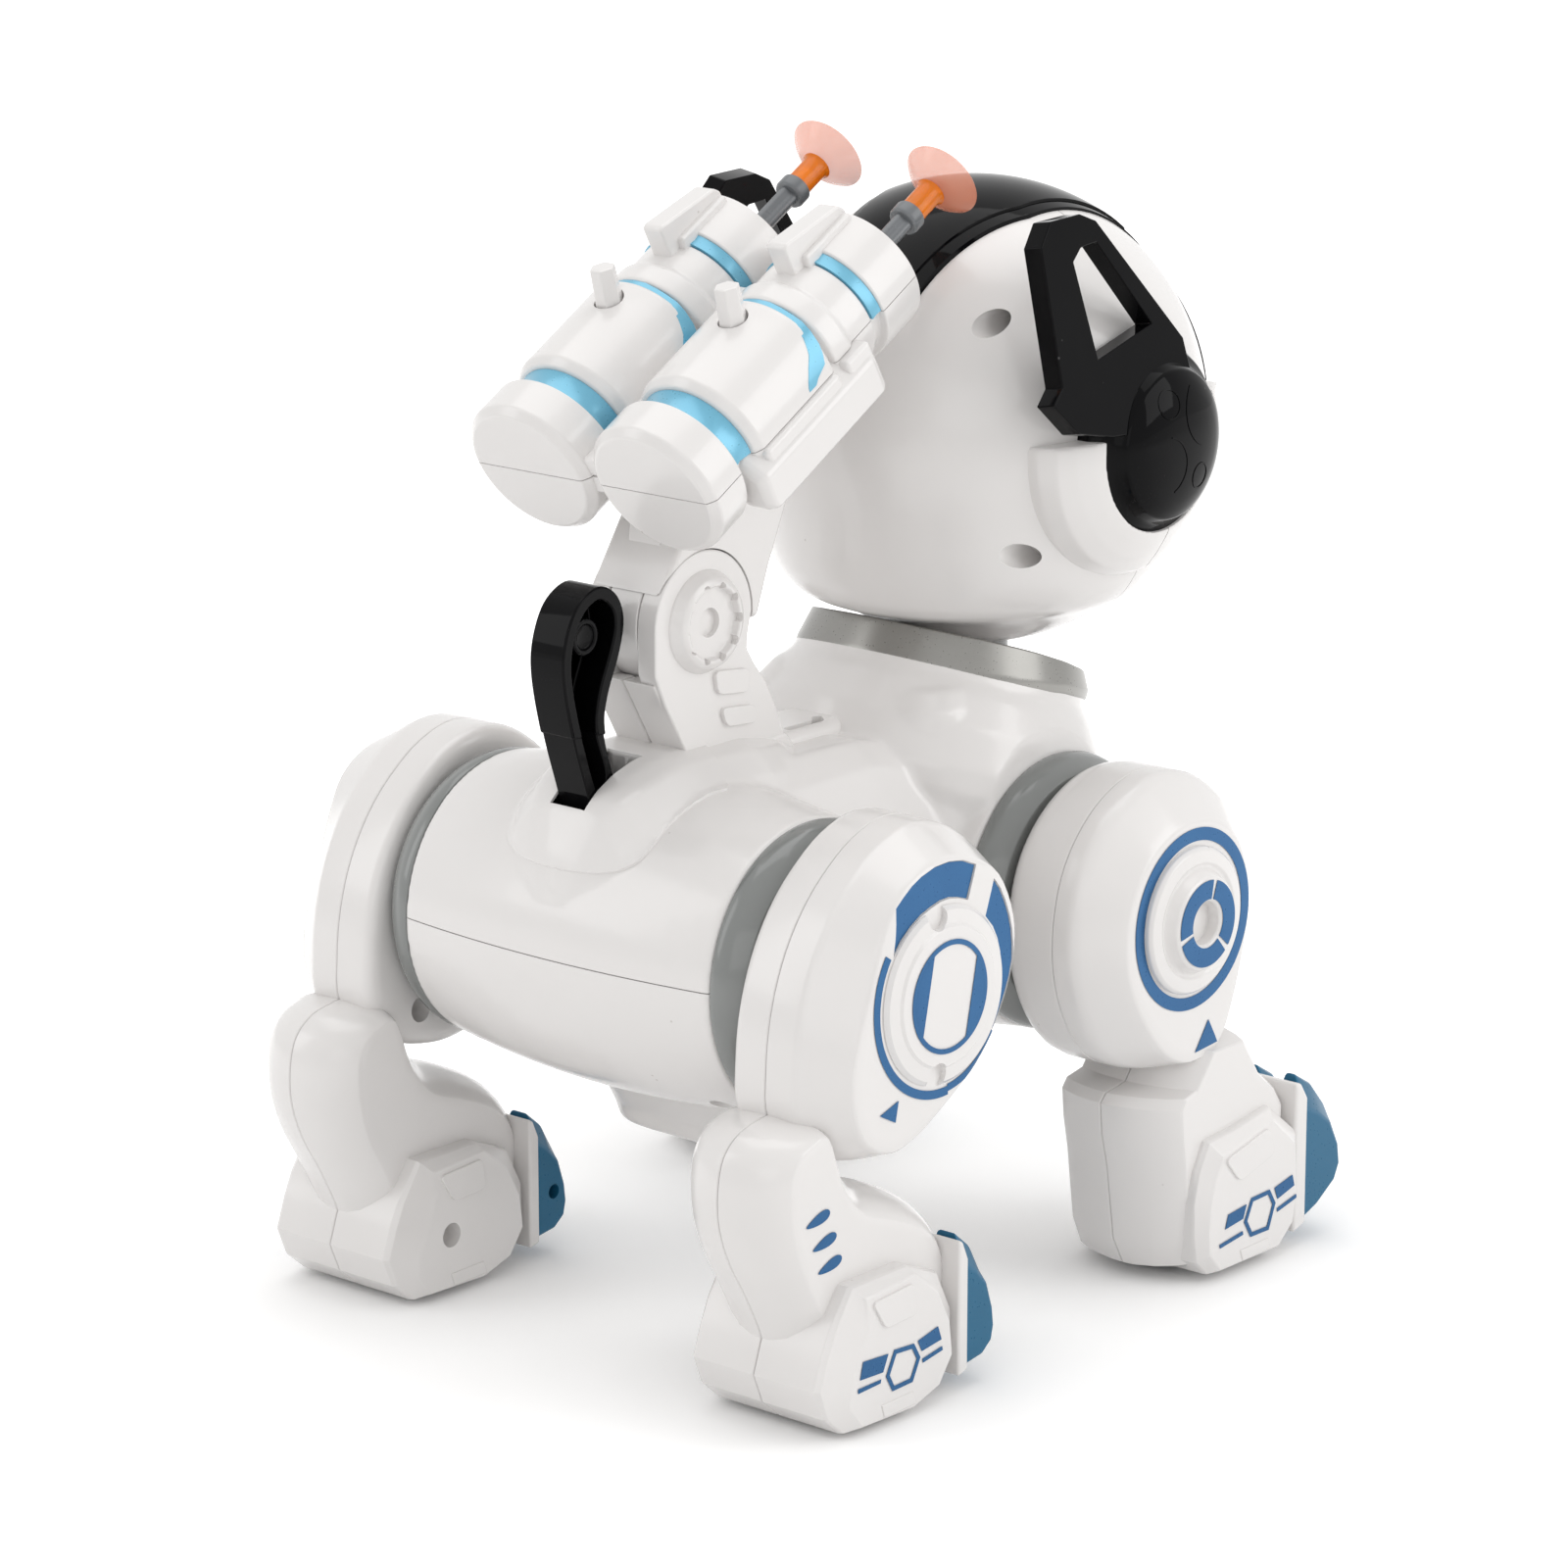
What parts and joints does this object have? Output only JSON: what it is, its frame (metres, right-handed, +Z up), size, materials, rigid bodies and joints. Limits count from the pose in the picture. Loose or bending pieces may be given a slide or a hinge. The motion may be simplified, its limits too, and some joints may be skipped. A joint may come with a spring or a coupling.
{
  "type": "robot dog toy",
  "caption": "Robot dog toy with round head, hinged legs on wheeled feet, rocking tail and a tilting twin suction-dart launcher on its back.",
  "frame": {"origin": "on the floor, below the middle of the toy's outline", "axes": "+X to the nose, +Y to the dog's left, +Z up"},
  "size_m": [0.2128, 0.164, 0.2542],
  "materials": {
    "white_plastic": "glossy white moulded plastic",
    "grey_plastic": "glossy mid grey plastic",
    "silver_paint": "satin silver paint on plastic",
    "black_plastic": "glossy black plastic",
    "teal_plastic": "satin teal blue plastic",
    "sky_paint": "metallic light blue paint on plastic",
    "eye_lens": "tinted clear plastic over the lamps",
    "orange_vinyl": "soft clear orange vinyl",
    "black_rubber": "dark rubber",
    "steel": "plain steel",
    "motor_case": "gearbox and motor case",
    "gear_nylon": "natural nylon",
    "circuit_board": "green lacquered board",
    "battery_wrap": "cells in blue shrink wrap"
  },
  "bodies": {
    "torso": {"body_upper_shell": "white_plastic", "body_lower_shell": "white_plastic", "saddle_cover": "white_plastic", "neck_collar": "silver_paint", "neck_dome": "white_plastic", "hip_rings_rear": "grey_plastic", "hip_rings_front": "grey_plastic", "battery_door": "white_plastic", "battery_pack": "battery_wrap", "main_board": "circuit_board", "speaker": "black_rubber", "rear_gearmotor": "motor_case", "front_gearmotor": "motor_case", "body_screws": "steel", "launcher_post_left": "white_plastic", "launcher_post_right": "white_plastic"},
    "switch": {"power_switch": "black_plastic"},
    "rear_left_leg": {"rear_left_outer_shell": "white_plastic", "rear_left_inner_shell": "white_plastic", "rear_left_toe_cap": "teal_plastic", "rear_hip_shaft": "steel", "rear_hip_gear": "gear_nylon"},
    "rear_right_leg": {"rear_right_outer_shell": "white_plastic", "rear_right_inner_shell": "white_plastic", "rear_right_toe_cap": "teal_plastic"},
    "front_left_leg": {"front_left_outer_shell": "white_plastic", "front_left_inner_shell": "white_plastic", "front_left_toe_cap": "teal_plastic", "front_shoulder_shaft": "steel", "front_shoulder_gear": "gear_nylon"},
    "front_right_leg": {"front_right_outer_shell": "white_plastic", "front_right_inner_shell": "white_plastic", "front_right_toe_cap": "teal_plastic"},
    "rear_left_roller": {"rear_left_wheel": "black_rubber"},
    "rear_right_roller": {"rear_right_wheel": "black_rubber"},
    "front_left_roller": {"front_left_wheel": "black_rubber"},
    "front_right_roller": {"front_right_wheel": "black_rubber"},
    "rear_drive": {"rear_pinion": "gear_nylon"},
    "front_drive": {"front_pinion": "gear_nylon"},
    "head": {"head_rear_shell": "white_plastic", "head_front_shell": "white_plastic", "head_crest": "black_plastic", "face_visor": "black_plastic", "eye_lenses": "eye_lens", "ear_left": "black_plastic", "ear_right": "black_plastic", "neck_swivel": "grey_plastic", "head_screws": "steel"},
    "launcher": {"launcher_top_shell": "white_plastic", "launcher_bottom_shell": "white_plastic", "launcher_arm": "white_plastic", "launcher_bands": "sky_paint", "launch_springs": "steel"},
    "left_trigger": {"trigger_left": "white_plastic"},
    "right_trigger": {"trigger_right": "white_plastic"},
    "left_dart": {"dart_left_shaft": "grey_plastic", "dart_left_tip": "orange_vinyl"},
    "right_dart": {"dart_right_shaft": "grey_plastic", "dart_right_tip": "orange_vinyl"},
    "tail_body": {"tail": "black_plastic"}
  },
  "joints": [
    {"name": "rear_left_hip", "type": "hinge", "parent": "torso", "child": "rear_left_leg", "pos_m": [-0.056, 0, 0.089], "axis": [0, 1, 0], "range_deg": [-20, 20]},
    {"name": "front_left_shoulder", "type": "hinge", "parent": "torso", "child": "front_left_leg", "pos_m": [0.035, 0, 0.085], "axis": [0, 1, 0], "range_deg": [-20, 20]},
    {"name": "rear_right_hip", "type": "hinge", "parent": "torso", "child": "rear_right_leg", "pos_m": [-0.056, 0, 0.089], "axis": [0, 1, 0], "range_deg": [-20, 20]},
    {"name": "front_right_shoulder", "type": "hinge", "parent": "torso", "child": "front_right_leg", "pos_m": [0.035, 0, 0.085], "axis": [0, 1, 0], "range_deg": [-20, 20]},
    {"name": "rear_pinion_spin", "type": "hinge", "parent": "torso", "child": "rear_drive", "pos_m": [-0.036, 0, 0.089], "axis": [0, 1, 0], "range_deg": [-62, 62]},
    {"name": "front_pinion_spin", "type": "hinge", "parent": "torso", "child": "front_drive", "pos_m": [0.015, 0, 0.085], "axis": [0, 1, 0], "range_deg": [-62, 62]},
    {"name": "rear_left_wheel_spin", "type": "hinge", "parent": "rear_left_leg", "child": "rear_left_roller", "pos_m": [-0.077, 0.062, 0.0082], "axis": [0, 1, 0], "continuous": true},
    {"name": "front_left_wheel_spin", "type": "hinge", "parent": "front_left_leg", "child": "front_left_roller", "pos_m": [0.045, 0.062, 0.0082], "axis": [0, 1, 0], "continuous": true},
    {"name": "rear_right_wheel_spin", "type": "hinge", "parent": "rear_right_leg", "child": "rear_right_roller", "pos_m": [-0.077, -0.062, 0.0082], "axis": [0, 1, 0], "continuous": true},
    {"name": "front_right_wheel_spin", "type": "hinge", "parent": "front_right_leg", "child": "front_right_roller", "pos_m": [0.045, -0.062, 0.0082], "axis": [0, 1, 0], "continuous": true},
    {"name": "head_turn", "type": "hinge", "parent": "torso", "child": "head", "pos_m": [0.053, 0, 0.128], "axis": [0, 0, 1], "range_deg": [-15, 15]},
    {"name": "launcher_tilt", "type": "hinge", "parent": "torso", "child": "launcher", "pos_m": [-0.0506, 0, 0.1574], "axis": [0, 1, 0], "range_deg": [-14, 2]},
    {"name": "left_trigger_press", "type": "slide", "parent": "launcher", "child": "left_trigger", "axis": [0.2756, 0, -0.9613], "range_m": [0, 0.0024], "stiffness_N_per_m": 300},
    {"name": "left_dart_slide", "type": "slide", "parent": "launcher", "child": "left_dart", "axis": [0.866, 0, 0.5], "range_m": [0, 0.07]},
    {"name": "right_trigger_press", "type": "slide", "parent": "launcher", "child": "right_trigger", "axis": [0.2756, 0, -0.9613], "range_m": [0, 0.0024], "stiffness_N_per_m": 300},
    {"name": "right_dart_slide", "type": "slide", "parent": "launcher", "child": "right_dart", "axis": [0.866, 0, 0.5], "range_m": [0, 0.07]},
    {"name": "tail_rock", "type": "hinge", "parent": "torso", "child": "tail_body", "pos_m": [-0.073, 0, 0.108], "axis": [0, 1, 0], "range_deg": [-8, 4]},
    {"name": "power_slide", "type": "slide", "parent": "torso", "child": "switch", "axis": [1, 0, 0], "range_m": [0, 0.004]}
  ],
  "couplings": [
    {"joint": "rear_right_hip", "follows": "rear_left_hip", "ratio": 1},
    {"joint": "front_right_shoulder", "follows": "front_left_shoulder", "ratio": 1},
    {"joint": "rear_pinion_spin", "follows": "rear_left_hip", "ratio": -3},
    {"joint": "front_pinion_spin", "follows": "front_left_shoulder", "ratio": -3}
  ]
}
